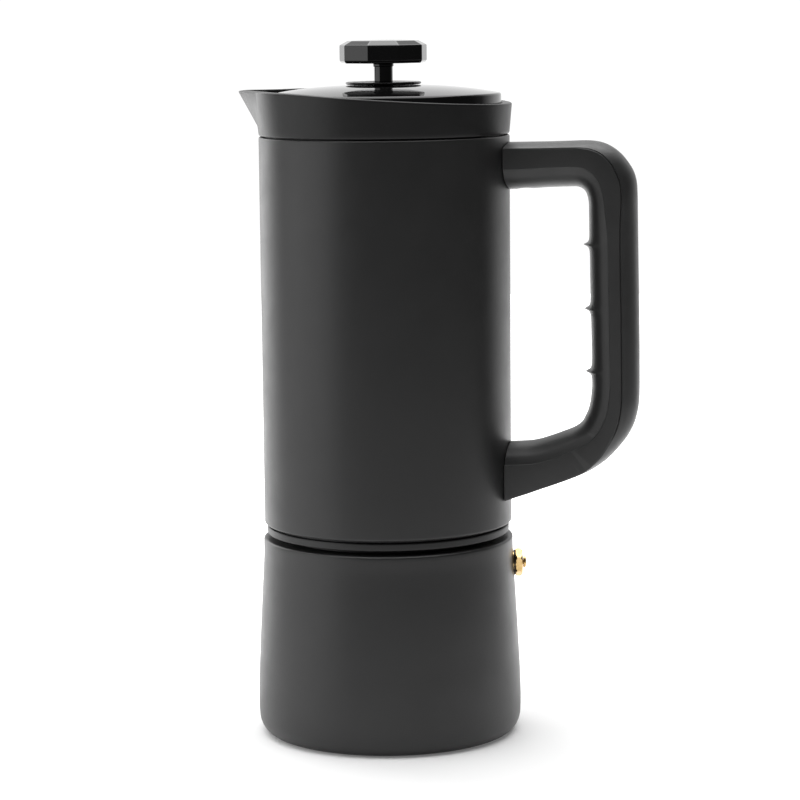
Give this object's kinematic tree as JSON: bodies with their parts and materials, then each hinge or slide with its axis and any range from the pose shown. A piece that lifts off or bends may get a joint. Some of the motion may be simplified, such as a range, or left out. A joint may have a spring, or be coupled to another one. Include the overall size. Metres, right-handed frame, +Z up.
{
  "type": "moka pot",
  "caption": "Tall stovetop coffee pot: round boiler with a brass safety valve, screwed-on upper chamber with a V spout, U handle, and a lift-off lid with a faceted knob.",
  "frame": {"origin": "centre of the boiler's flat underside, on the vertical axis of the round body", "axes": "+Z up along the pot's axis, +X towards the handle, -X towards the spout"},
  "size_m": [0.1437, 0.0952, 0.2486],
  "materials": {
    "coated_steel": "matte black powder coat",
    "inner_steel": "satin stainless steel",
    "brass": "machined, lightly polished",
    "handle_plastic": "fine matte moulded",
    "gloss_black": "high gloss black",
    "dark_ring": "satin black",
    "silicone": "matte silicone"
  },
  "bodies": {
    "base": {"boiler": "coated_steel", "valve_body": "brass", "valve_washer": "dark_ring", "valve_locknut": "brass", "valve_retainer": "brass", "valve_spring": "inner_steel"},
    "valve_pin": {"valve_pin": "brass"},
    "funnel": {"funnel": "inner_steel", "funnel_strainer": "inner_steel"},
    "seal": {"gasket": "silicone"},
    "filter": {"filter_plate": "inner_steel"},
    "upper": {"threaded_ring": "dark_ring", "chamber_shell": "coated_steel", "chamber_liner": "inner_steel", "brew_column": "inner_steel", "column_cap": "inner_steel", "spout_collar": "coated_steel", "handle": "handle_plastic", "upper_bracket": "inner_steel", "lower_bracket": "inner_steel", "upper_handle_screw": "inner_steel", "lower_handle_screw": "inner_steel"},
    "lid": {"lid": "gloss_black", "lid_seal": "silicone", "lid_bush": "gloss_black"},
    "plunger": {"stem": "gloss_black", "stem_clip": "inner_steel", "stem_disc": "gloss_black", "knob": "gloss_black"}
  },
  "joints": [
    {"name": "chamber_lift", "type": "slide", "parent": "base", "child": "seal", "axis": [0, 0, 1], "range_m": [0, 0.16]},
    {"name": "thread_rise", "type": "slide", "parent": "seal", "child": "filter", "axis": [0, 0, 1], "range_m": [0, 0.0045]},
    {"name": "chamber_turn", "type": "hinge", "parent": "filter", "child": "upper", "pos_m": [0, 0, 0], "axis": [0, 0, 1], "range_deg": [0, 540]},
    {"name": "funnel_lift", "type": "slide", "parent": "base", "child": "funnel", "axis": [0, 0, 1], "range_m": [0, 0.08]},
    {"name": "lid_lift", "type": "slide", "parent": "upper", "child": "lid", "axis": [0, 0, 1], "range_m": [0, 0.06]},
    {"name": "stem_slide", "type": "slide", "parent": "lid", "child": "plunger", "axis": [0, 0, 1], "range_m": [0, 0.012]},
    {"name": "valve_travel", "type": "slide", "parent": "base", "child": "valve_pin", "axis": [0.9848, 0.1736, 0], "range_m": [0, 0.0012], "stiffness_N_per_m": 1500, "springref_m": -0.0015, "deforming": ["valve_spring"]}
  ],
  "couplings": [
    {"joint": "thread_rise", "follows": "chamber_turn", "m_per_rad": 0.00047746},
    {"joint": "funnel_lift", "follows": "chamber_lift", "ratio": 0.5}
  ]
}
